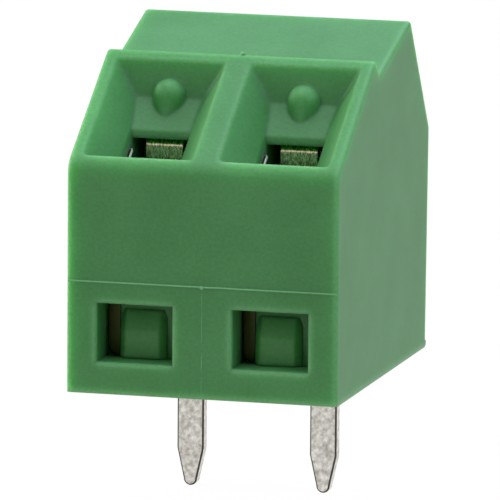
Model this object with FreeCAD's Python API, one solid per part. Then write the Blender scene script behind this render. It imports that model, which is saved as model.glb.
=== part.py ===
import FreeCAD, Part
import math
import os

# Two-pole screwless terminal block for a circuit board, in millimetres.
# X runs along the row of poles, Y from the wire side (front) to the back, Z up.
# Z = 0 is the seating plane on the board, X = 0 the middle of the row,
# and Y = 0 the line of the solder pins.

# Row of poles
POLES = 2
PITCH = 5.0

# Housing outline, seen from the side
PIN_ROW_DEPTH = 7.8        # front face to the middle of the pins
FRONT_HEIGHT = 8.3         # front face, up to the corner with the slanted face
RIDGE_DEPTH = 5.15         # front face to the ridge over the pockets
RIDGE_HEIGHT = 11.72
GROOVE_DEPTH = 5.75        # front face to the bottom of the V groove behind the ridge
GROOVE_HEIGHT = 11.04
CREST_DEPTH = 10.1         # front face to the highest edge
CREST_HEIGHT = 12.45
SHOULDER_DEPTH = 12.95     # front face to the widest point of the back
SHOULDER_HEIGHT = 8.15
BACK_DRAFT = 0.25          # the back leans in by this much at the bottom
FRONT_CORNER_R = 0.7
RIDGE_R = 0.22
CREST_R = 0.18
SHOULDER_R = 0.4
EDGE_R = 0.14              # small rounding along both ends of the block

# Housing walls
FRONT_WALL = 1.3
BACK_WALL = 0.95
END_WALL = 0.65            # beside the base

# Wire pockets in the slanted face
POCKET_WIDTH = 4.12
POCKET_FRONT_RIM = 0.46    # strip of slanted face in front of a pocket, along the slope
POCKET_TOP_RIM = 0.52      # strip between a pocket and the ridge, along the slope
FUNNEL_DEPTH = 1.18        # square to the slanted face
FUNNEL_FOOT_WIDTH = 2.3
FUNNEL_BACK_DEPTH = 4.53   # front face to the foot of the funnel's back wall
THROAT_DEPTH = 0.45        # steeper taper below the funnel, square to the slanted face
SHAFT_WIDTH = 2.16         # the wire's shaft below each throat
POCKET_CORNER_R = 0.15
RIM_R = 0.1

# Shelf in the rear of each pocket, over the clamp spring, and the domed stud on it
SHELF_FRONT_DEPTH = 3.45
SHELF_BACK_TOP = 10.05     # where the shelf meets the funnel's back wall
SHELF_LIP_TOP = 9.05
SHELF_LIP_R = 0.07
SHELF_UNDERSIDE = 8.74
SHELF_ROOT = 0.35          # how far the shelf runs into the walls round it
STUD_DIAMETER = 1.18
STUD_DEPTH = 4.5
STUD_TOP = 10.77

# Front windows and the snap hooks that show in them
WINDOW_WIDTH = 2.8
WINDOW_SILL = 1.14
WINDOW_TOP = 3.27
WINDOW_R = 0.12
HOOK_WIDTH = 1.24
HOOK_SIDE_CHAMFER = 0.23
HOOK_FACE_DEPTH = 1.02     # front face of the block to the face of the hook
HOOK_RAMP_START = 2.15
HOOK_TOP = 2.88
HOOK_THICKNESS = 0.85
HOOK_STEP = 0.3            # how far the hook's face stands out from its neck

# Base plate
BASE_THICKNESS = 1.05
FIT_CLEARANCE = 0.05       # between pieces that are slid into one another
TONGUE_REACH = 0.3
TONGUE_HEIGHT = 0.45

# Contact cage, folded from strip
STRIP = 0.5
BEND_R = 0.4               # outside of the folds
CAGE_INNER_WIDTH = 1.96
CAGE_SIDE_DEPTH = 1.8      # front face of the block to the foot of the side walls
CAGE_FLOOR_DEPTH = 2.2     # front face of the block to the floor between them
CAGE_FOOT_TOP = 3.7
BAR_BOTTOM = 4.4
CAGE_FRONT_TOP = 7.1
CAGE_SHOULDER_DEPTH = 3.3  # where the side walls step down beside the spring
CAGE_REAR_TOP = 7.8
REAR_PLATE_TOP = 7.0

# Solder pins
PIN_WIDTH = 1.0
PIN_LENGTH = 4.66          # below the seating plane
PIN_TAPER = 1.38
PIN_TIP_WIDTH = 0.5
PIN_SLOT_CLEARANCE = 0.06

# Clamp spring, a leaf
LEAF = 0.25
LEAF_WIDTH = 1.43
KNEE_FACE_DEPTH = 3.86     # front face of the block to the front of the leaf's knee
KNEE_R = 0.5               # middle of the leaf
LOOP_R = 0.75
CRANK_R = 0.9
CRANK_TURN = 33.0          # degrees
CRANK_HEIGHT = 7.35
LEG_TIP_GAP = 0.06         # leaf tip to the clamping bar
SPRING_GAP = 0.03          # leaf to the underside of the shelf

# Hollow behind the cage, open towards the base
CORE_WALL = 0.8
CORE_TOP_WALL = 1.1

WIDTH = POLES * PITCH
POLE_X = [(i - (POLES - 1) / 2) * PITCH for i in range(POLES)]
CAGE_OUTER_WIDTH = CAGE_INNER_WIDTH + 2 * STRIP
CHAMBER_WIDTH = CAGE_OUTER_WIDTH + 2 * FIT_CLEARANCE
SLOPE_ANGLE = math.atan2(RIDGE_HEIGHT - FRONT_HEIGHT, RIDGE_DEPTH)
SLOPE_LENGTH = math.hypot(RIDGE_HEIGHT - FRONT_HEIGHT, RIDGE_DEPTH)
CAGE_FLOOR = BASE_THICKNESS + FIT_CLEARANCE
PIN_FRONT = PIN_ROW_DEPTH - STRIP / 2
PIN_BACK = PIN_ROW_DEPTH + STRIP / 2
CHAMBER_BACK = PIN_BACK + FIT_CLEARANCE
ARM_HEIGHT = SHELF_UNDERSIDE - SPRING_GAP - LEAF / 2
BASE_BACK = SHOULDER_DEPTH - BACK_DRAFT - BACK_WALL


def point(depth, height, x=0.0):
    """A place given by its depth behind the front face and its height."""
    return FreeCAD.Vector(x, depth - PIN_ROW_DEPTH, height)


def on_slope(along, below, x=0.0):
    """A place given along the slanted face from its lower edge, and square below it."""
    depth = along * math.cos(SLOPE_ANGLE) + below * math.sin(SLOPE_ANGLE)
    height = FRONT_HEIGHT + along * math.sin(SLOPE_ANGLE) - below * math.cos(SLOPE_ANGLE)
    return point(depth, height, x)


def slab(points, width, x=0.0):
    """Extrude a side outline of (depth, height) pairs to a width centred on x."""
    corners = [point(depth, height, x - width / 2) for depth, height in points]
    face = Part.Face(Part.makePolygon(corners + corners[:1]))
    return face.extrude(FreeCAD.Vector(width, 0, 0))


def block(x, width, depths, heights):
    """A plain box centred on x, between two depths and two heights."""
    corner = point(depths[0], heights[0], x - width / 2)
    return Part.makeBox(width, depths[1] - depths[0], heights[1] - heights[0], corner)


def rounded_outline(corners, x):
    """A closed wire through (depth, height, radius) corners, each rounded by its radius."""
    edges = []
    ends = []
    count = len(corners)
    for i, (depth, height, radius) in enumerate(corners):
        here = point(depth, height, x)
        before = point(*corners[i - 1][:2], x)
        after = point(*corners[(i + 1) % count][:2], x)
        to_before = (before - here).normalize()
        to_after = (after - here).normalize()
        half = to_before.getAngle(to_after) / 2
        run = radius / math.tan(half)
        middle = here + (to_before + to_after).normalize() * (radius / math.sin(half) - radius)
        start = here + to_before * run
        end = here + to_after * run
        if radius > 0:
            edges.append(Part.Arc(start, middle, end).toShape())
        ends.append((start, end))
    for i in range(count):
        edges.append(Part.LineSegment(ends[i - 1][1], ends[i][0]).toShape())
    return Part.Wire(Part.__sortEdges__(edges))


def edges_where(shape, test):
    """The straight or curved edges of a shape whose middle passes a test."""
    return [edge for edge in shape.Edges
            if test(edge.valueAt((edge.FirstParameter + edge.LastParameter) / 2), edge)]


def below_slope(depth, below):
    """The height of a line parallel to the slanted face, square below it by a distance."""
    return FRONT_HEIGHT + depth * math.tan(SLOPE_ANGLE) - below / math.cos(SLOPE_ANGLE)


def shaft_space(x):
    """The hollow below one throat: the wire's shaft in front, the spring's room behind it."""
    throat_foot = FUNNEL_DEPTH + THROAT_DEPTH
    return slab([(FRONT_WALL, BASE_THICKNESS),
                 (FRONT_WALL, below_slope(FRONT_WALL, throat_foot)),
                 (FUNNEL_BACK_DEPTH, below_slope(FUNNEL_BACK_DEPTH, throat_foot)),
                 (FUNNEL_BACK_DEPTH, SHELF_UNDERSIDE), (CHAMBER_BACK, SHELF_UNDERSIDE),
                 (CHAMBER_BACK, BASE_THICKNESS)], SHAFT_WIDTH, x)


def tapered_space(x, rows):
    """A tapering hollow through rows of (square below the face, low, high, half width)."""
    wires = []
    for below, low, high, half in rows:
        corners = [on_slope(low, below, x - half), on_slope(low, below, x + half),
                   on_slope(high, below, x + half), on_slope(high, below, x - half)]
        wires.append(Part.makePolygon(corners + corners[:1]))
    return Part.makeLoft(wires, True, True)


def along_slope(depth, below):
    """Where a depth behind the front face lies along a line parallel to the slanted face."""
    return (depth - below * math.sin(SLOPE_ANGLE)) / math.cos(SLOPE_ANGLE)


def funnel_space(x):
    """The tapering mouth of one pocket, from its rim in the slanted face to the throat."""
    rim = (POCKET_FRONT_RIM, SLOPE_LENGTH - POCKET_TOP_RIM, POCKET_WIDTH / 2)
    foot = (along_slope(FRONT_WALL, FUNNEL_DEPTH), along_slope(FUNNEL_BACK_DEPTH, FUNNEL_DEPTH),
            FUNNEL_FOOT_WIDTH / 2)
    # The taper runs on above the face, so that the cut leaves no skin there.
    above = [a + (a - b) / FUNNEL_DEPTH for a, b in zip(rim, foot)]
    funnel = tapered_space(x, [(FUNNEL_DEPTH, *foot), (-1.0, *above)])
    inward = (on_slope(0, 1) - on_slope(0, 0)).normalize()

    def at_corner(middle, edge):
        run = (edge.Vertexes[1].Point - edge.Vertexes[0].Point).normalize()
        return abs(run.dot(inward)) > 0.5
    return funnel.makeFillet(POCKET_CORNER_R, edges_where(funnel, at_corner))


def throat_space(x):
    """The steeper taper between one funnel and its shaft."""
    deep = FUNNEL_DEPTH + THROAT_DEPTH
    rows = []
    for below, width in ((deep, SHAFT_WIDTH), (FUNNEL_DEPTH, FUNNEL_FOOT_WIDTH)):
        rows.append((below, along_slope(FRONT_WALL, below),
                     along_slope(FUNNEL_BACK_DEPTH, below), width / 2))
    return tapered_space(x, rows)


def cage_space(x):
    """Room for one contact cage, inserted from below."""
    rise = math.tan(SLOPE_ANGLE)
    front_top = CAGE_FRONT_TOP + FIT_CLEARANCE
    shoulder = CAGE_SHOULDER_DEPTH + FIT_CLEARANCE
    shoulder_top = front_top + (shoulder - FRONT_WALL) * rise
    rear_top = CAGE_REAR_TOP + FIT_CLEARANCE
    return slab([(FRONT_WALL, BASE_THICKNESS), (FRONT_WALL, front_top),
                 (shoulder, shoulder_top), (shoulder, rear_top),
                 (CHAMBER_BACK, rear_top), (CHAMBER_BACK, BASE_THICKNESS)], CHAMBER_WIDTH, x)


def make_shelf(x):
    """The shelf across the rear of one pocket, with its roots in the walls round it."""
    rise = (SHELF_BACK_TOP - SHELF_LIP_TOP) / (FUNNEL_BACK_DEPTH - SHELF_FRONT_DEPTH)
    back = FUNNEL_BACK_DEPTH + SHELF_ROOT
    shelf = slab([(SHELF_FRONT_DEPTH, SHELF_UNDERSIDE), (SHELF_FRONT_DEPTH, SHELF_LIP_TOP),
                  (back, SHELF_LIP_TOP + (back - SHELF_FRONT_DEPTH) * rise),
                  (back, SHELF_UNDERSIDE)], FUNNEL_FOOT_WIDTH + 2 * SHELF_ROOT, x)

    def at_lip(middle, edge):
        return abs(middle.z - SHELF_LIP_TOP) < 1e-4 and abs(middle.x - x) < 1e-4
    return shelf.makeFillet(SHELF_LIP_R, edges_where(shelf, at_lip))


def make_stud(x):
    """The domed stud that stands on the shelf, half sunk into the funnel's back wall."""
    radius = STUD_DIAMETER / 2
    foot = point(STUD_DEPTH, (SHELF_UNDERSIDE + SHELF_LIP_TOP) / 2, x)
    centre = point(STUD_DEPTH, STUD_TOP - radius, x)
    column = Part.makeCylinder(radius, centre.z - foot.z, foot)
    stud = column.fuse(Part.makeSphere(radius, centre))
    # The seams of both surfaces are turned into the wall.
    return stud.rotate(centre, FreeCAD.Vector(0, 0, 1), 90)


def rear_core(x):
    """Hollow behind one cage, which keeps the moulding's walls even."""
    front = CHAMBER_BACK + CORE_WALL
    slope = (CREST_HEIGHT - SHOULDER_HEIGHT) / (SHOULDER_DEPTH - CREST_DEPTH)
    top_front = SHOULDER_HEIGHT + (SHOULDER_DEPTH - front) * slope / 2
    top_back = SHOULDER_HEIGHT - CORE_TOP_WALL / 2
    top_front = min(top_front, GROOVE_HEIGHT - CORE_TOP_WALL)
    return slab([(front, BASE_THICKNESS), (front, top_front),
                 (BASE_BACK, top_back), (BASE_BACK, BASE_THICKNESS)], CHAMBER_WIDTH, x)


def base_recess():
    """The opening in the underside that the base plate fills."""
    plate = block(0, WIDTH - 2 * END_WALL, (FRONT_WALL, BASE_BACK), (0, BASE_THICKNESS))
    groove_low = BASE_THICKNESS / 2 - TONGUE_HEIGHT / 2 - FIT_CLEARANCE
    groove_high = BASE_THICKNESS / 2 + TONGUE_HEIGHT / 2 + FIT_CLEARANCE
    groove = block(0, WIDTH - 4 * END_WALL, (BASE_BACK, BASE_BACK + TONGUE_REACH),
                   (groove_low, groove_high))
    return plate.fuse(groove)


def make_housing():
    """The outer moulding: side outline with rounded corners, then its hollows."""
    outline = rounded_outline([
        (0, 0, 0), (0, FRONT_HEIGHT, FRONT_CORNER_R), (RIDGE_DEPTH, RIDGE_HEIGHT, RIDGE_R),
        (GROOVE_DEPTH, GROOVE_HEIGHT, 0), (CREST_DEPTH, CREST_HEIGHT, CREST_R),
        (SHOULDER_DEPTH, SHOULDER_HEIGHT, SHOULDER_R),
        (SHOULDER_DEPTH - BACK_DRAFT, 0, 0)], -WIDTH / 2)
    body = Part.Face(outline).extrude(FreeCAD.Vector(WIDTH, 0, 0))

    def on_end(middle, edge):
        return abs(abs(middle.x) - WIDTH / 2) < 1e-4 and middle.z > 1e-4
    body = body.makeFillet(EDGE_R, edges_where(body, on_end))

    for x in POLE_X:
        body = body.cut(funnel_space(x))
    foot = on_slope(0, 0)
    along = (on_slope(1, 0) - foot).normalize()
    outward = (foot - on_slope(0, 1)).normalize()

    def on_rim(middle, edge):
        place = (middle - foot).dot(along)
        on_face = abs((middle - foot).dot(outward)) < 1e-3
        return on_face and abs(middle.x) < WIDTH / 2 - 2 * EDGE_R \
            and POCKET_FRONT_RIM * 0.9 < place < SLOPE_LENGTH - POCKET_TOP_RIM * 0.9
    body = body.makeFillet(RIM_R, edges_where(body, on_rim))

    for x in POLE_X:
        body = body.cut(block(x, WINDOW_WIDTH, (-1, FRONT_WALL), (WINDOW_SILL, WINDOW_TOP)))

    def on_window(middle, edge):
        return abs(middle.y + PIN_ROW_DEPTH) < 1e-4 and abs(middle.x) < WIDTH / 2 - 2 * EDGE_R \
            and WINDOW_SILL - 1e-4 < middle.z < WINDOW_TOP + 1e-4
    body = body.makeFillet(WINDOW_R, edges_where(body, on_window))
    for x in POLE_X:
        body = body.cut(throat_space(x)).cut(shaft_space(x)).cut(cage_space(x))
        body = body.cut(rear_core(x)).fuse(make_shelf(x)).fuse(make_stud(x))
    return body.cut(base_recess()).removeSplitter()


def snap_hook(x):
    """One tongue of the base, with its hook: chamfered sides, a ramp above, a flat below."""
    face = HOOK_FACE_DEPTH
    neck = face + HOOK_STEP
    back = neck + HOOK_THICKNESS - HOOK_STEP
    locking = WINDOW_SILL + FIT_CLEARANCE / 2
    width = HOOK_WIDTH + 2 * HOOK_SIDE_CHAMFER
    tongue = slab([(neck, 0), (neck, locking), (face, locking), (face, HOOK_RAMP_START),
                   (neck, HOOK_TOP), (back, HOOK_TOP), (back, 0)], width, x)

    def front_side(middle, edge):
        return abs(abs(middle.x - x) - width / 2) < 1e-4 \
            and middle.y < neck - 1e-3 - PIN_ROW_DEPTH and middle.z > locking + 1e-3
    return tongue.makeChamfer(HOOK_SIDE_CHAMFER, edges_where(tongue, front_side))


def make_base():
    """The closing piece: a plate with two snap hooks, a rear tongue and the pin slots."""
    front = FRONT_WALL + FIT_CLEARANCE
    back = BASE_BACK - FIT_CLEARANCE
    width = WIDTH - 2 * END_WALL - 2 * FIT_CLEARANCE
    plate = block(0, width, (front, back), (0, BASE_THICKNESS))
    tongue_low = BASE_THICKNESS / 2 - TONGUE_HEIGHT / 2
    tongue = block(0, width - 2 * END_WALL, (back, BASE_BACK + TONGUE_REACH - FIT_CLEARANCE),
                   (tongue_low, tongue_low + TONGUE_HEIGHT))
    plate = plate.fuse(tongue)
    for x in POLE_X:
        plate = plate.fuse(snap_hook(x))
    for x in POLE_X:
        slot = block(x, PIN_WIDTH + 2 * PIN_SLOT_CLEARANCE,
                     (PIN_FRONT - PIN_SLOT_CLEARANCE, PIN_BACK + PIN_SLOT_CLEARANCE),
                     (-1, BASE_THICKNESS + 1))
        plate = plate.cut(slot)
    return plate.removeSplitter()


def solder_pin(x):
    """The flat pin below one cage: its point tapers in width and ends in a round nose."""
    taper_top = -(PIN_LENGTH - PIN_TAPER)
    nose = PIN_TIP_WIDTH / 2
    nose_top = -(PIN_LENGTH - nose)
    wide = PIN_WIDTH / 2

    def at(side, height):
        return point(PIN_FRONT, height, x + side)
    corners = [at(-nose, nose_top), at(-wide, taper_top), at(-wide, CAGE_FLOOR),
               at(wide, CAGE_FLOOR), at(wide, taper_top), at(nose, nose_top)]
    sides = Part.makePolygon(corners).Edges
    tip = Part.Arc(corners[-1], at(0, -PIN_LENGTH), corners[0]).toShape()
    return Part.Face(Part.Wire(sides + [tip])).extrude(FreeCAD.Vector(0, STRIP, 0))


def make_contact(x):
    """One cage: two side walls, the clamping bar, the floor, the rear plate and the pin."""
    rise = math.tan(SLOPE_ANGLE)
    bar_front = FRONT_WALL + FIT_CLEARANCE
    shoulder_top = CAGE_FRONT_TOP + (CAGE_SHOULDER_DEPTH - bar_front) * rise
    side = [(CAGE_SIDE_DEPTH, CAGE_FLOOR), (CAGE_SIDE_DEPTH, CAGE_FOOT_TOP),
            (bar_front, BAR_BOTTOM), (bar_front, CAGE_FRONT_TOP),
            (CAGE_SHOULDER_DEPTH, shoulder_top), (CAGE_SHOULDER_DEPTH, CAGE_REAR_TOP),
            (PIN_BACK, CAGE_REAR_TOP), (PIN_BACK, CAGE_FLOOR)]
    offset = (CAGE_INNER_WIDTH + STRIP) / 2
    cage = slab(side, STRIP, x - offset).fuse(slab(side, STRIP, x + offset))
    cage = cage.fuse(block(x, CAGE_OUTER_WIDTH, (bar_front, bar_front + STRIP),
                           (BAR_BOTTOM, CAGE_FRONT_TOP)))
    cage = cage.fuse(block(x, CAGE_OUTER_WIDTH, (CAGE_FLOOR_DEPTH, PIN_BACK),
                           (CAGE_FLOOR, CAGE_FLOOR + STRIP)))
    cage = cage.fuse(block(x, CAGE_OUTER_WIDTH, (PIN_FRONT, PIN_BACK),
                           (CAGE_FLOOR, REAR_PLATE_TOP)))
    cage = cage.fuse(solder_pin(x)).removeSplitter()

    def at_fold(middle, edge):
        run = (edge.Vertexes[1].Point - edge.Vertexes[0].Point).normalize()
        outside = abs(abs(middle.x - x) - CAGE_OUTER_WIDTH / 2) < 1e-4
        front_fold = abs(run.z) > 0.99 and abs(middle.y + PIN_ROW_DEPTH - bar_front) < 1e-4
        floor_fold = abs(run.y) > 0.99 and abs(middle.z - CAGE_FLOOR) < 1e-4
        return outside and (front_fold or floor_fold)
    return cage.makeFillet(BEND_R, edges_where(cage, at_fold))


def leaf_path():
    """The middle line of the spring as (depth, height) points and the bends between them.

    It starts at the foot of the fixed leg, rises along the rear plate, loops forward over the
    top, runs under the shelf, bends down at the knee and cranks forward to the clamping bar.
    """
    fixed = PIN_FRONT - FIT_CLEARANCE / 2 - LEAF / 2
    foot = CAGE_FLOOR + STRIP + FIT_CLEARANCE
    knee = KNEE_FACE_DEPTH + LEAF / 2
    bar_face = FRONT_WALL + FIT_CLEARANCE + STRIP
    turn = math.radians(CRANK_TURN)
    crank_end = (knee - CRANK_R * (1 - math.cos(turn)), CRANK_HEIGHT - CRANK_R * math.sin(turn))
    tip_depth = bar_face + LEG_TIP_GAP + LEAF / 2
    run = (crank_end[0] - tip_depth) / math.sin(turn)
    tip = (tip_depth, crank_end[1] - run * math.cos(turn))
    crank_middle = (knee - CRANK_R * (1 - math.cos(turn / 2)),
                    CRANK_HEIGHT - CRANK_R * math.sin(turn / 2))
    diagonal = math.sqrt(0.5)
    loop_centre = (fixed - LOOP_R, ARM_HEIGHT - LOOP_R)
    knee_centre = (knee + KNEE_R, ARM_HEIGHT - KNEE_R)
    return [
        ("line", (fixed, foot), (fixed, loop_centre[1])),
        ("bend", (fixed, loop_centre[1]),
         (loop_centre[0] + LOOP_R * diagonal, loop_centre[1] + LOOP_R * diagonal),
         (loop_centre[0], ARM_HEIGHT)),
        ("line", (loop_centre[0], ARM_HEIGHT), (knee_centre[0], ARM_HEIGHT)),
        ("bend", (knee_centre[0], ARM_HEIGHT),
         (knee_centre[0] - KNEE_R * diagonal, knee_centre[1] + KNEE_R * diagonal),
         (knee, knee_centre[1])),
        ("line", (knee, knee_centre[1]), (knee, CRANK_HEIGHT)),
        ("bend", (knee, CRANK_HEIGHT), crank_middle, crank_end),
        ("line", crank_end, tip),
    ]


def make_spring(x):
    """One leaf spring: its middle line thickened to the leaf, then given its width."""
    edges = []
    for kind, *places in leaf_path():
        vectors = [point(depth, height, x - LEAF_WIDTH / 2) for depth, height in places]
        if kind == "line":
            edges.append(Part.LineSegment(*vectors).toShape())
        else:
            edges.append(Part.Arc(*vectors).toShape())
    spine = Part.Wire(edges)
    start = spine.Edges[0].firstVertex().Point
    section = Part.makePolygon([start + FreeCAD.Vector(0, -LEAF / 2, 0),
                                start + FreeCAD.Vector(0, LEAF / 2, 0),
                                start + FreeCAD.Vector(LEAF_WIDTH, LEAF / 2, 0),
                                start + FreeCAD.Vector(LEAF_WIDTH, -LEAF / 2, 0),
                                start + FreeCAD.Vector(0, -LEAF / 2, 0)])
    return spine.makePipeShell([section], True, False, 1)


def save(name, shape):
    """Write one piece to its own file, and say how large it is."""
    shape.exportStep("parts/" + name + ".step")
    box = shape.BoundBox
    print(name, "valid", shape.isValid(), "solids", len(shape.Solids),
          "volume %.3f" % shape.Volume,
          "size %.2f %.2f %.2f" % (box.XLength, box.YLength, box.ZLength))


os.makedirs("parts", exist_ok=True)
save("housing", make_housing())
save("base", make_base())
for number, x in enumerate(POLE_X, 1):
    save("contact_%d" % number, make_contact(x))
    save("clamp_spring_%d" % number, make_spring(x))
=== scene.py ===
"""Two-pole screwless terminal block for a circuit board: its finishes, small details and studio.

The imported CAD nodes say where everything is. Lengths here are written in millimetres and turned
to metres with MM. X runs along the poles, -Y is the wire side, and Z = 0 is the board's surface.
"""
import math

import bmesh
import bpy
from mathutils import Matrix, Vector, noise


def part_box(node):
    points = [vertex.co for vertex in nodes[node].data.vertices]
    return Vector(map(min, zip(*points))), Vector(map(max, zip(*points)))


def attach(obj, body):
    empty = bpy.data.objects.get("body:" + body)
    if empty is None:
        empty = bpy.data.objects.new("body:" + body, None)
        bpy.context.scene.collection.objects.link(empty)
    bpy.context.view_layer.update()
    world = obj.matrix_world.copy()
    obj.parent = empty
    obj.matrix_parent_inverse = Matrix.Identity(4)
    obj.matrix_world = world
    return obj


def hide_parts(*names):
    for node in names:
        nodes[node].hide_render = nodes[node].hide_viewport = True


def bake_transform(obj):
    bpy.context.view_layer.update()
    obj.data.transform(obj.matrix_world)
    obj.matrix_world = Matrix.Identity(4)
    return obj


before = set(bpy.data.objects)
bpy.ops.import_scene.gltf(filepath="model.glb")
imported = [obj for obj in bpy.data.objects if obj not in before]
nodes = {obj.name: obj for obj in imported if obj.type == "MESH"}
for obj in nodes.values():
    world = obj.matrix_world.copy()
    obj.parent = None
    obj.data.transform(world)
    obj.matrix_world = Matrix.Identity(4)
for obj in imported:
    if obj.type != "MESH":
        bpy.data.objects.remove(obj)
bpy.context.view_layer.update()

MM = 0.001

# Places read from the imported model
housing_low, housing_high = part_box("housing")
FRONT_Y = housing_low.y
LEFT_X, RIGHT_X = housing_low.x, housing_high.x
PIN_TIP_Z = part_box("contact_1")[0].z
POLES = ("1", "2")


# Small tools

def linear(hex_colour):
    """An sRGB colour written as six hex digits, as the linear RGBA that shaders take."""
    channels = [int(hex_colour[i:i + 2], 16) / 255 for i in (0, 2, 4)]
    return [c / 12.92 if c <= 0.04045 else ((c + 0.055) / 1.055) ** 2.4 for c in channels] + [1.0]


def add_node(tree, kind, values=None, links=None, **settings):
    """Add one shader node with its settings, its fixed inputs and the outputs that feed it."""
    new = tree.nodes.new("ShaderNode" + kind)
    for name, value in settings.items():
        setattr(new, name, value)
    for name, value in (values or {}).items():
        new.inputs[name].default_value = value
    for name, output in (links or {}).items():
        tree.links.new(output, new.inputs[name])
    return new


def new_material(name):
    """An empty node material, with its output node and the object coordinates to start from."""
    material = bpy.data.materials.new(name)
    material.use_nodes = True
    tree = material.node_tree
    tree.nodes.clear()
    place = add_node(tree, "TexCoord").outputs["Object"]
    return material, tree, place


def paint(piece, material):
    """Give a piece one material and nothing else."""
    piece.data.materials.clear()
    piece.data.materials.append(material)


def new_piece(name, bm, material, smooth_angle=35.0):
    """Make an object of a bmesh, shade it smooth up to an angle, and give it its finish."""
    mesh = bpy.data.meshes.new(name)
    bm.to_mesh(mesh)
    bm.free()
    mesh.shade_smooth()
    mesh.set_sharp_from_angle(angle=math.radians(smooth_angle))
    piece = bpy.data.objects.new(name, mesh)
    bpy.context.scene.collection.objects.link(piece)
    paint(piece, material)
    return piece


def soften(piece, width, segments=2, angle=30.0, painted_edge=None):
    """Round the sharp edges of a piece a little, as a mould or a press tool leaves them.

    A painted edge material goes on the rounded edges alone: on the contact strip it is painted
    shade along the edges and a painted highlight at the cage's upper ends.
    """
    bevel = piece.modifiers.new("edge_rounding", "BEVEL")
    if painted_edge:
        piece.data.materials.append(painted_edge)
        bevel.material = 1
    bevel.limit_method = "ANGLE"
    bevel.angle_limit = math.radians(angle)
    bevel.width = width
    bevel.segments = segments
    flat = piece.modifiers.new("flat_faces_stay_flat", "WEIGHTED_NORMAL")
    flat.keep_sharp = True


CAD_WELD = 0.0005 * MM      # vertices of the CAD mesh this close are one
CAD_FLAT = math.radians(0.5)    # its faces that meet at less than this are one


def dressed_copy(node, name, material, body, edge, reshape=None, painted_edge=None):
    """A welded copy of a CAD node with rounded edges, which stands for the node."""
    bm = bmesh.new()
    bm.from_mesh(nodes[node].data)
    bmesh.ops.remove_doubles(bm, verts=bm.verts, dist=CAD_WELD)
    bmesh.ops.dissolve_limit(bm, angle_limit=CAD_FLAT, verts=bm.verts, edges=bm.edges)
    if reshape:
        reshape(bm)
    piece = new_piece(name, bm, material)
    soften(piece, edge, painted_edge=painted_edge)
    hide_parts(node)
    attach(piece, body)


# Finishes

def moulded_polyamide(name, deep, light, rim, translucency, rounding):
    """Polyamide 66, injection moulded in a spark-eroded tool.

    It is matt with a fine grain, the pigment runs in faint clouds where the melt flowed, and
    thin walls let a little light through. Its edges are shaded soft, and near convex edges the
    colour is painted paler: a painted highlight and painted glow along the edges.
    """
    material, tree, place = new_material(name)
    flow = add_node(tree, "TexNoise", {"Scale": 1 / (2.6 * MM), "Detail": 3.0, "Roughness": 0.5},
                    {"Vector": place})
    # The real grain is about 0.03 mm, drawn at 0.12 mm so that it shows.
    grain = add_node(tree, "TexNoise", {"Scale": 1 / (0.12 * MM), "Detail": 2.0}, {"Vector": place})
    clouds = add_node(tree, "MapRange", {"From Min": 0.3, "From Max": 0.7},
                      {"Value": flow.outputs["Fac"]})
    pigment = add_node(tree, "Mix", {"A": linear(deep), "B": linear(light)},
                       {"Factor": clouds.outputs["Result"]}, data_type="RGBA")
    speckle = add_node(tree, "MapRange", {"From Min": 0.25, "From Max": 0.75,
                                          "To Min": 0.9, "To Max": 1.1},
                       {"Value": grain.outputs["Fac"]})
    # Near convex edges the colour turns towards the pale edge colour: a painted highlight.
    depth = add_node(tree, "AmbientOcclusion", {"Distance": 0.32 * MM}, samples=8, inside=True,
                     only_local=True)
    edge = add_node(tree, "MapRange", {"From Min": 0.96, "From Max": 0.45, "To Max": 0.4},
                    {"Value": depth.outputs["AO"]})
    painted_edge_light = add_node(tree, "Mix", {"B": linear(rim)},
                     {"Factor": edge.outputs["Result"], "A": pigment.outputs["Result"]},
                     data_type="RGBA")
    colour = add_node(tree, "VectorMath", None,
                      {0: painted_edge_light.outputs["Result"], 1: speckle.outputs["Result"]},
                      operation="MULTIPLY")
    roughness = add_node(tree, "MapRange", {"To Min": 0.42, "To Max": 0.56},
                         {"Value": grain.outputs["Fac"]})
    rounded = add_node(tree, "Bevel", {"Radius": rounding}, samples=8)
    bump = add_node(tree, "Bump", {"Strength": 0.6, "Distance": 0.008 * MM},
                    {"Height": grain.outputs["Fac"], "Normal": rounded.outputs["Normal"]})
    shader = add_node(tree, "BsdfPrincipled",
                      {"IOR": 1.53, "Subsurface Weight": translucency,
                       "Subsurface Radius": (0.5, 1.0, 0.3), "Subsurface Scale": 2.0 * MM},
                      {"Base Color": colour.outputs["Vector"],
                       "Roughness": roughness.outputs["Result"],
                       "Normal": bump.outputs["Normal"]})
    add_node(tree, "OutputMaterial", None, {"Surface": shader.outputs["BSDF"]})
    return material


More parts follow.
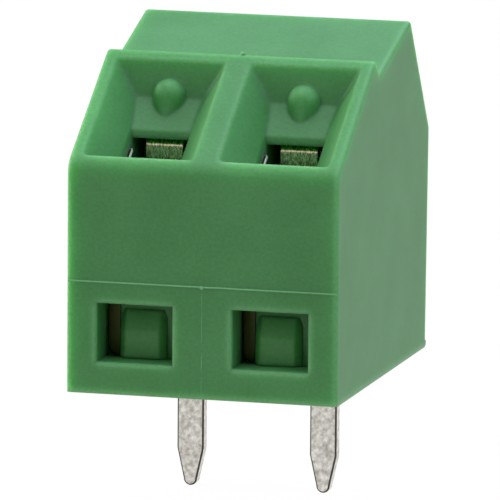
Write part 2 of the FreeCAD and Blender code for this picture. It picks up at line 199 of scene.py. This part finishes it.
def tinned_alloy(name):
    """Contact strip of copper alloy: matt electroplated tin on the pins, bare metal above them.

    The tin is grey crystals in soft patches. The plating line lies just inside the base, and the
    cage above it is painted dark olive brown: partly the bare alloy's own colour, partly painted
    shade of the cage inside the block.
    """
    material, tree, place = new_material(name)
    # Tin grains are a few hundredths of a millimetre, drawn at 0.2 mm so that they show.
    crystals = add_node(tree, "TexNoise", {"Scale": 1 / (0.2 * MM), "Detail": 5.0,
                                           "Roughness": 0.68}, {"Vector": place})
    patches = add_node(tree, "TexNoise", {"Scale": 1 / (0.7 * MM), "Detail": 2.0},
                       {"Vector": place})
    tone = add_node(tree, "MapRange", {"From Min": 0.3, "From Max": 0.66},
                    {"Value": crystals.outputs["Fac"]})
    tin = add_node(tree, "Mix", {"A": linear("A9A198"), "B": linear("FFFBF4")},
                   {"Factor": tone.outputs["Result"]}, data_type="RGBA")
    # Above the plating line the cage is painted dark olive: partly bare alloy, partly painted shade
    # inside the block.
    alloy = add_node(tree, "Mix", {"A": linear("34381F"), "B": linear("50552E")},
                     {"Factor": patches.outputs["Fac"]}, data_type="RGBA")
    height = add_node(tree, "SeparateXYZ", None, {0: place}).outputs["Z"]
    bare_and_shaded_share = add_node(tree, "MapRange", {"From Min": 0.5 * MM, "From Max": 0.9 * MM},
                      {"Value": height}, interpolation_type="SMOOTHSTEP")
    colour = add_node(tree, "Mix", None, {"Factor": bare_and_shaded_share.outputs["Result"],
                                          "A": tin.outputs["Result"],
                                          "B": alloy.outputs["Result"]}, data_type="RGBA")
    roughness = add_node(tree, "MapRange", {"To Min": 0.34, "To Max": 0.52},
                         {"Value": patches.outputs["Fac"]})
    bump = add_node(tree, "Bump", {"Strength": 0.5, "Distance": 0.012 * MM},
                    {"Height": crystals.outputs["Fac"]})
    shader = add_node(tree, "BsdfPrincipled", {"Metallic": 1.0},
                      {"Base Color": colour.outputs["Result"],
                       "Roughness": roughness.outputs["Result"],
                       "Normal": bump.outputs["Normal"]})
    add_node(tree, "OutputMaterial", None, {"Surface": shader.outputs["BSDF"]})
    return material


def strip_edge_painted_light(name):
    """Rounded edges of the strip: painted dark grey along them, a painted shade for the dark they
    reflect, and painted bright at the cage's upper ends, a painted highlight.
    """
    material, tree, place = new_material(name)
    # Shear marks run across the edge about every 0.05 mm.
    marks = add_node(tree, "TexNoise", {"Scale": 1 / (0.05 * MM), "Detail": 2.0},
                     {"Vector": place})
    # Dark grey along the rounded edges: painted shade for the dark they reflect.
    grey = add_node(tree, "Mix", {"A": linear("46423D"), "B": linear("5F5A54")},
                    {"Factor": marks.outputs["Fac"]}, data_type="RGBA")
    height = add_node(tree, "SeparateXYZ", None, {0: place}).outputs["Z"]
    # Bright near the cage's upper ends: a painted highlight.
    bare = add_node(tree, "MapRange", {"From Min": 6.8 * MM, "From Max": 7.0 * MM},
                    {"Value": height}, interpolation_type="SMOOTHSTEP")
    colour = add_node(tree, "Mix", {"B": linear("F4F2EC")},
                      {"Factor": bare.outputs["Result"], "A": grey.outputs["Result"]},
                      data_type="RGBA")
    shader = add_node(tree, "BsdfPrincipled", {"Metallic": 1.0, "Roughness": 0.6},
                      {"Base Color": colour.outputs["Result"]})
    add_node(tree, "OutputMaterial", None, {"Surface": shader.outputs["BSDF"]})
    return material


def satin_spring_steel(name):
    """Cold-rolled stainless spring strip, tumbled after bending: short lines along the leaf with
    a satin grain in between, which breaks its highlights up. Its tones run from olive to cream,
    which paints in part the green reflection from the housing and the warm highlight.
    """
    material, tree, place = new_material(name)
    # The grain is about 0.02 mm wide, drawn at 0.06 mm across the leaf and 0.14 mm along it.
    stretch = add_node(tree, "Mapping", {"Scale": (1 / (0.06 * MM), 1 / (0.14 * MM),
                                                   1 / (0.14 * MM))}, {"Vector": place})
    lines = add_node(tree, "TexNoise", {"Scale": 1.0, "Detail": 3.0},
                     {"Vector": stretch.outputs["Vector"]})
    tone = add_node(tree, "MapRange", {"From Min": 0.35, "From Max": 0.65},
                    {"Value": lines.outputs["Fac"]})
    # Olive to cream: partly the strip's grain, partly a painted green reflection and warm highlight.
    colour = add_node(tree, "Mix", {"A": linear("8C8665"), "B": linear("F4EBD0")},
                      {"Factor": tone.outputs["Result"]}, data_type="RGBA")
    roughness = add_node(tree, "MapRange", {"To Min": 0.16, "To Max": 0.36},
                         {"Value": lines.outputs["Fac"]})
    bump = add_node(tree, "Bump", {"Strength": 0.5, "Distance": 0.006 * MM},
                    {"Height": lines.outputs["Fac"]})
    shader = add_node(tree, "BsdfPrincipled", {"Metallic": 1.0},
                      {"Base Color": colour.outputs["Result"],
                       "Roughness": roughness.outputs["Result"],
                       "Normal": bump.outputs["Normal"]})
    add_node(tree, "OutputMaterial", None, {"Surface": shader.outputs["BSDF"]})
    return material


# Pigment colours, deep and light, then the pale colour of the painted edge highlight
HOUSING_POLYAMIDE = moulded_polyamide("moulded_polyamide_housing", "4A904E", "559A5A", "A2D0AE",
                                      0.75, 0.22 * MM)
# The base and its webs are painted a little darker than the housing: painted shade inside the
# windows.
SHADED_BASE_POLYAMIDE = moulded_polyamide("moulded_polyamide_base_painted_shade", "458D46", "4F9850", "6FAC74",
                                   0.6, 0.2 * MM)
# The flash is painted paler than the housing: a painted highlight along the mould marks.
FLASH_POLYAMIDE_PAINTED_HIGHLIGHT = moulded_polyamide("moulded_polyamide_flash_painted_highlight", "62A968", "7DBE80", "86C58C",
                                    0.0, 0.01 * MM)
TINNED_ALLOY = tinned_alloy("tinned_copper_alloy")
PAINTED_STRIP_EDGE = strip_edge_painted_light("strip_edge_painted_shade_and_highlight")
SPRING_STEEL = satin_spring_steel("satin_spring_steel")


# Mouldings and contacts

def pole_middle(pole):
    """Where the middle of one pole lies along the row."""
    low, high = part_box("clamp_spring_" + pole)
    return (low.x + high.x) / 2


STUD_R = 0.59 * MM
STUD_Y = FRONT_Y + 4.5 * MM
STUD_FOOT_Z = 9.476 * MM    # lowest point of a stud, at its front
STUD_FULL_Z = 9.9 * MM      # from here up it has its full width
STUD_FOOT_SHARE = 0.6       # width of its lowest point, as a share of the full width
STUD_NEAR = 0.01 * MM       # a vertex this close to the stud's surface is on it


def draw_in_stud_feet(bm):
    """Narrow the foot of each stud towards its lowest point, so that it ends like a drop."""
    for pole in POLES:
        middle_x = pole_middle(pole)
        for vert in bm.verts:
            across, back = vert.co.x - middle_x, vert.co.y - STUD_Y
            on_side = abs(math.hypot(across, back) - STUD_R) < STUD_NEAR and back < 0
            if on_side and STUD_FOOT_Z - 2 * STUD_NEAR < vert.co.z < STUD_FULL_Z:
                rise = (vert.co.z - STUD_FOOT_Z) / (STUD_FULL_Z - STUD_FOOT_Z)
                share = STUD_FOOT_SHARE + (1 - STUD_FOOT_SHARE) * rise
                bmesh.ops.scale(bm, vec=(share, 1, 1), verts=[vert],
                                space=Matrix.Translation((-middle_x, 0, 0)))


# Roundings of the sharp edges, by piece
HOUSING_EDGE = 0.03 * MM
BASE_EDGE = 0.04 * MM
CONTACT_EDGE = 0.06 * MM
LEAF_EDGE = 0.04 * MM

dressed_copy("housing", "housing_shell", HOUSING_POLYAMIDE, "block",
             HOUSING_EDGE, draw_in_stud_feet)
dressed_copy("base", "snap_in_base", SHADED_BASE_POLYAMIDE, "block", BASE_EDGE)
for pole in POLES:
    dressed_copy("contact_" + pole, "contact_cage_" + pole, TINNED_ALLOY,
                 "block", CONTACT_EDGE, painted_edge=PAINTED_STRIP_EDGE)


WEB_WIDTH, WEB_THICKNESS, WEB_HEIGHT = 2.4 * MM, 0.3 * MM, 2.3 * MM
WEB_RIGHT = 0.29 * MM       # from the pole's middle to the web's
WEB_Y = FRONT_Y + 1.6 * MM
WEB_Z = 2.2 * MM
WEB_EDGE = 0.08 * MM


def tongue_web(pole):
    """The thin shoulder of a snap tongue that stands behind its hook, above it and at its right."""
    middle = (pole_middle(pole) + WEB_RIGHT, WEB_Y, WEB_Z)
    bm = bmesh.new()
    bmesh.ops.create_cube(bm, size=1.0, matrix=Matrix.Translation(middle)
                          @ Matrix.Diagonal((WEB_WIDTH, WEB_THICKNESS, WEB_HEIGHT, 1)))
    bmesh.ops.bevel(bm, geom=bm.edges[:], offset=WEB_EDGE, segments=3, affect="EDGES",
                    profile=0.5, material=-1)
    web = new_piece("snap_tongue_web_" + pole, bm, SHADED_BASE_POLYAMIDE)
    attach(web, "block")


for pole in POLES:
    tongue_web(pole)


# Marks left by the mould

PARTING_Z = 4.05 * MM
PARTING_R = 0.03 * MM
PARTING_INSET = 0.05 * MM   # from each end of the block
POLE_LINE_R = 0.02 * MM     # the line between the poles, almost sunk into the front
POLE_LINE_SINK = 0.0185 * MM
POLE_LINE_FOOT_Z = 0.1 * MM
FOOT_LIP_R = 0.12 * MM
FOOT_LIP_Y = housing_high.y - 0.246 * MM
FOOT_LIP_Z = 0.14 * MM
FOOT_LIP_LEFT_INSET, FOOT_LIP_RIGHT_INSET = 0.1 * MM, 0.02 * MM
BURR_R = 0.075 * MM
BURR_DROP = 0.02 * MM       # below the parting line
STUB_R = 0.085 * MM
STUB_PLACE = (0.05 * MM, FRONT_Y + 5.16 * MM, 11.69 * MM)
WAVER_SHARE = 0.22          # of a bead's radius
WAVER_LENGTH = 0.5 * MM
WAVER_SEED = 1              # any number but 0, which takes the clock and never repeats
BEAD_CUTS = 30


def mould_marks():
    """Thin flash where the mould opened: a line low on the front with a burr in its middle, a
    fainter one down between the poles, a stub on the ridge and a lip at the foot of the back.
    """
    noise.seed_set(WAVER_SEED)
    bm = bmesh.new()

    def bead(start, end, radius):
        """A round bead from one point to another, cut into lengths that waver a little."""
        along = end - start
        turn = along.to_track_quat("Z", "Y").to_matrix().to_4x4()
        made = bmesh.ops.create_cone(bm, cap_ends=True, segments=10, radius1=radius,
                                     radius2=radius, depth=along.length,
                                     matrix=Matrix.Translation((start + end) / 2) @ turn)["verts"]
        sides = [edge for edge in bm.edges
                 if edge.verts[0] in made and edge.calc_length() > along.length / 2]
        cut = bmesh.ops.subdivide_edges(bm, edges=sides, cuts=BEAD_CUTS)["geom_inner"]
        for vert in cut:
            if isinstance(vert, bmesh.types.BMVert):
                vert.co += WAVER_SHARE * radius * noise.noise_vector(vert.co / WAVER_LENGTH)

    bead(Vector((LEFT_X + PARTING_INSET, FRONT_Y, PARTING_Z)),
         Vector((RIGHT_X - PARTING_INSET, FRONT_Y, PARTING_Z)), PARTING_R)
    bead(Vector((0, FRONT_Y + POLE_LINE_SINK, POLE_LINE_FOOT_Z)),
         Vector((0, FRONT_Y + POLE_LINE_SINK, PARTING_Z)), POLE_LINE_R)
    bead(Vector((LEFT_X + FOOT_LIP_LEFT_INSET, FOOT_LIP_Y, FOOT_LIP_Z)),
         Vector((RIGHT_X - FOOT_LIP_RIGHT_INSET, FOOT_LIP_Y, FOOT_LIP_Z)), FOOT_LIP_R)
    for place, radius in (((0, FRONT_Y, PARTING_Z - BURR_DROP), BURR_R), (STUB_PLACE, STUB_R)):
        bmesh.ops.create_icosphere(bm, subdivisions=3, radius=radius,
                                   matrix=Matrix.Translation(place))
    marks = new_piece("mould_flash", bm, FLASH_POLYAMIDE_PAINTED_HIGHLIGHT, smooth_angle=60.0)
    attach(marks, "block")


mould_marks()


# Clamp springs

LEAF = 0.25 * MM            # strip thickness
LOOP_R = 0.75 * MM          # bend radii at the middle of the strip
KNEE_R = 0.22 * MM
CRANK_R = 0.9 * MM
CRANK_TURN = math.radians(33.0)
CRANK_Z = 7.35 * MM
KNEE_FACE_DEPTH = 3.86 * MM
BEND_STEPS = 10
LEAF_WELD = 0.001 * MM      # vertices of the leaf this close are one
# Equal lengths that each straight stretch is drawn in
FIXED_LEG_PARTS, ARM_PARTS, KNEE_PARTS, FREE_LEG_PARTS = 6, 10, 3, 6


def spring_leaf(pole):
    """One leaf bent from strip: fixed leg, loop, arm, knee and cranked leg, drawn by its section."""
    low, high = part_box("clamp_spring_" + pole)
    middle_x = pole_middle(pole)
    fixed_y = high.y - LEAF / 2
    knee_y = FRONT_Y + KNEE_FACE_DEPTH + LEAF / 2
    arm_z = high.z - LEAF / 2
    tip_y = low.y + LEAF / 2 * math.cos(CRANK_TURN)
    bm = bmesh.new()
    bmesh.ops.create_grid(bm, x_segments=1, y_segments=1, size=0.5,
                          matrix=Matrix.Translation((middle_x, fixed_y, low.z))
                          @ Matrix.Diagonal((high.x - low.x, LEAF, 1, 1)))
    end = bm.faces[:]

    def run(end, step, parts):
        """Draw the end face straight on, in equal parts, and return the new end."""
        for _ in range(parts):
            made = bmesh.ops.extrude_face_region(bm, geom=end)["geom"]
            corners = [part for part in made if isinstance(part, bmesh.types.BMVert)]
            bmesh.ops.translate(bm, vec=step / parts, verts=corners)
            bmesh.ops.delete(bm, geom=end, context="FACES_ONLY")
            end = [part for part in made if isinstance(part, bmesh.types.BMFace)]
        return end

    def bend(end, centre_y, centre_z, turn):
        """Draw the end face round a bend whose axis runs along the poles, and return the end."""
        made = bmesh.ops.spin(bm, geom=end, cent=(middle_x, centre_y, centre_z), axis=(1, 0, 0),
                              angle=turn, steps=BEND_STEPS)["geom_last"]
        bmesh.ops.delete(bm, geom=end, context="FACES_ONLY")
        return [part for part in made if isinstance(part, bmesh.types.BMFace)]

    end = run(end, Vector((0, 0, arm_z - LOOP_R - low.z)), FIXED_LEG_PARTS)
    end = bend(end, fixed_y - LOOP_R, arm_z - LOOP_R, math.pi / 2)
    end = run(end, Vector((0, knee_y + KNEE_R - fixed_y + LOOP_R, 0)), ARM_PARTS)
    end = bend(end, knee_y + KNEE_R, arm_z - KNEE_R, math.pi / 2)
    end = run(end, Vector((0, 0, CRANK_Z - arm_z + KNEE_R)), KNEE_PARTS)
    end = bend(end, knee_y - CRANK_R, CRANK_Z, -CRANK_TURN)
    crank_y = knee_y - CRANK_R * (1 - math.cos(CRANK_TURN))
    along = (crank_y - tip_y) / math.sin(CRANK_TURN)
    run(end, along * Vector((0, -math.sin(CRANK_TURN), -math.cos(CRANK_TURN))), FREE_LEG_PARTS)
    bmesh.ops.remove_doubles(bm, verts=bm.verts, dist=LEAF_WELD)
    bmesh.ops.recalc_face_normals(bm, faces=bm.faces)
    leaf = new_piece("spring_leaf_" + pole, bm, SPRING_STEEL)
    soften(leaf, LEAF_EDGE)
    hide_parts("clamp_spring_" + pole)
    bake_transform(leaf)


for pole in POLES:
    spring_leaf(pole)


# Studio

# The lamps point at the aim, and the camera a little below it
AIM = Vector((0, FRONT_Y + 6.0 * MM, 6.0 * MM))
LAMP_DISTANCE = 140 * MM
FLOOR_HALF = 3000 * MM
PAPER_GLOW = 1.05
PAPER_GLOW_SHARE = 0.93     # the rest is plain paper, which keeps the shadow


def studio_floor():
    """A white sheet below the pins. Shown to the camera as paper white with a trace of shadow."""
    material, tree, _ = new_material("white_paper")
    rays = add_node(tree, "LightPath")
    seen = add_node(tree, "Math", None, {0: rays.outputs["Is Camera Ray"],
                                         1: rays.outputs["Is Glossy Ray"]}, operation="MAXIMUM")
    seen = add_node(tree, "Math", None, {0: seen.outputs[0],
                                         1: rays.outputs["Is Transmission Ray"]},
                    operation="MAXIMUM")
    share = add_node(tree, "Math", {1: PAPER_GLOW_SHARE}, {0: seen.outputs[0]},
                     operation="MULTIPLY")
    paper = add_node(tree, "BsdfDiffuse", {"Color": linear("C4C1B8")})
    glow = add_node(tree, "Emission", {"Color": (1, 1, 1, 1), "Strength": PAPER_GLOW})
    mixed = add_node(tree, "MixShader", None, {0: share.outputs[0], 1: paper.outputs["BSDF"],
                                               2: glow.outputs["Emission"]})
    add_node(tree, "OutputMaterial", None, {"Surface": mixed.outputs["Shader"]})
    bm = bmesh.new()
    bmesh.ops.create_grid(bm, x_segments=1, y_segments=1, size=FLOOR_HALF,
                          matrix=Matrix.Translation((0, 0, PIN_TIP_Z)))
    mesh = bpy.data.meshes.new("studio_floor")
    bm.to_mesh(mesh)
    bm.free()
    floor = bpy.data.objects.new("studio_floor", mesh)
    bpy.context.scene.collection.objects.link(floor)
    paint(floor, material)


def studio_world(horizon, zenith):
    """A white tent round the block: dim at the horizon and bright overhead."""
    world = bpy.data.worlds.new("studio_surround")
    world.use_nodes = True
    tree = world.node_tree
    tree.nodes.clear()
    rays = add_node(tree, "LightPath")
    seen = add_node(tree, "Math", None, {0: rays.outputs["Is Camera Ray"],
                                         1: rays.outputs["Is Transmission Ray"]},
                    operation="MAXIMUM")
    towards = add_node(tree, "SeparateXYZ", None,
                       {0: add_node(tree, "TexCoord").outputs["Generated"]})
    tent = add_node(tree, "MapRange", {"From Min": 0.0, "From Max": 1.0,
                                       "To Min": horizon, "To Max": zenith},
                    {"Value": towards.outputs["Z"]})
    strength = add_node(tree, "MapRange", {"To Max": 1.0},
                        {"Value": seen.outputs[0], "To Min": tent.outputs["Result"]})
    colour = add_node(tree, "Mix", {"A": linear("E6F3FF"), "B": (1, 1, 1, 1)},
                      {"Factor": seen.outputs[0]}, data_type="RGBA")
    back = add_node(tree, "Background", None,
                    {"Color": colour.outputs["Result"], "Strength": strength.outputs["Result"]})
    add_node(tree, "OutputWorld", None, {"Surface": back.outputs["Background"]})
    bpy.context.scene.world = world


def soft_box(name, azimuth, elevation, size, power, colour):
    """A square lamp aimed at the block. Azimuth 0 stands in front of it and 90 at its right."""
    a, e = math.radians(azimuth), math.radians(elevation)
    towards = Vector((math.sin(a) * math.cos(e), -math.cos(a) * math.cos(e), math.sin(e)))
    lamp = bpy.data.lights.new(name, "AREA")
    lamp.shape = "SQUARE"
    lamp.size = size
    lamp.energy = power
    lamp.color = linear(colour)[:3]
    box = bpy.data.objects.new(name, lamp)
    box.location = AIM + towards * LAMP_DISTANCE
    box.rotation_mode = "QUATERNION"
    box.rotation_quaternion = towards.to_track_quat("Z", "Y")
    bpy.context.scene.collection.objects.link(box)


studio_floor()
studio_world(horizon=0.05, zenith=0.8)
# Azimuth and elevation in degrees, side, power in watts and colour
soft_box("glint_box", -14, 26, 40 * MM, 0.005, "FFF2D4")
soft_box("front_box", -10, 60, 80 * MM, 0.022, "FFF8E0")
soft_box("top_box", 0, 80, 100 * MM, 0.035, "DEEEFF")
soft_box("back_box", 172, 58, 100 * MM, 0.06, "DCEEFF")
soft_box("right_box", 84, 32, 90 * MM, 0.045, "DEF0FF")
soft_box("left_box", -98, 12, 110 * MM, 0.19, "FAFFF0")


# Camera

CAMERA_AZIMUTH = math.radians(15.283)
CAMERA_ELEVATION = math.radians(9.675)
CAMERA_ROLL = math.radians(0.403)
CAMERA_DISTANCE = 350 * MM
AIM_OFF_RIGHT, AIM_OFF_UP = -0.113 * MM, 1.557 * MM     # where the picture shows the aim
CLIP_START, CLIP_END = 10 * MM, 100000 * MM
PICTURE_PIXELS = 500
PIXELS_PER_MM = 27.742      # at the aim, in a picture this wide
SENSOR_WIDTH = 36           # millimetres, as Blender counts lenses

back = Vector((math.sin(CAMERA_AZIMUTH) * math.cos(CAMERA_ELEVATION),
               -math.cos(CAMERA_AZIMUTH) * math.cos(CAMERA_ELEVATION),
               math.sin(CAMERA_ELEVATION)))
level_right = Vector((math.cos(CAMERA_AZIMUTH), math.sin(CAMERA_AZIMUTH), 0))
level_up = back.cross(level_right)
right = math.cos(CAMERA_ROLL) * level_right + math.sin(CAMERA_ROLL) * level_up
up = back.cross(right)
camera_data = bpy.data.cameras.new("photo_camera")
camera_data.sensor_width = SENSOR_WIDTH
camera_data.lens = SENSOR_WIDTH * PIXELS_PER_MM * CAMERA_DISTANCE / MM / PICTURE_PIXELS
camera_data.clip_start = CLIP_START
camera_data.clip_end = CLIP_END
camera = bpy.data.objects.new("photo_camera", camera_data)
camera.matrix_world = Matrix.Translation(
    AIM + back * CAMERA_DISTANCE - right * AIM_OFF_RIGHT - up * AIM_OFF_UP) \
    @ Matrix((right, up, back)).transposed().to_4x4()
bpy.context.scene.collection.objects.link(camera)
bpy.context.scene.camera = camera
bpy.context.scene.view_settings.view_transform = "Standard"
